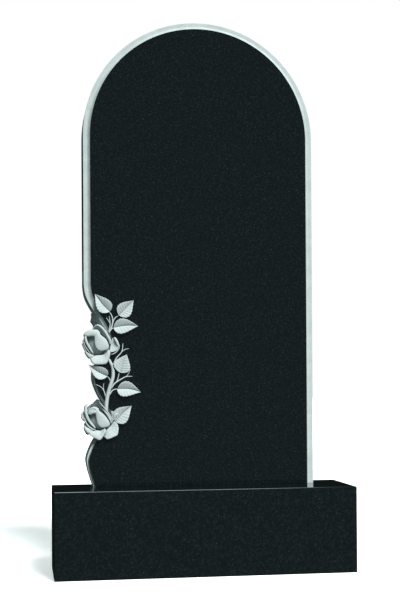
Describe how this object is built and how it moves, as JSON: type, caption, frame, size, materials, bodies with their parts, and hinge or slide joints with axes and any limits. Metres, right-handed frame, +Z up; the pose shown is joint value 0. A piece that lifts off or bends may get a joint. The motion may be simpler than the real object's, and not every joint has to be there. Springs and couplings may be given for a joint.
{
  "type": "headstone",
  "caption": "Arched upright headstone of polished black stone on a block plinth, with a matt border and a carved rose spray down its left edge.",
  "frame": {"origin": "on the ground under the middle of the plinth", "axes": "+Z up, -Y out of the polished front face, +X to the right as the front is seen"},
  "size_m": [0.7, 0.2, 1.3003],
  "materials": {
    "black_stone": "polished"
  },
  "bodies": {
    "root": {"plinth": "black_stone", "stele": "black_stone"}
  },
  "joints": []
}
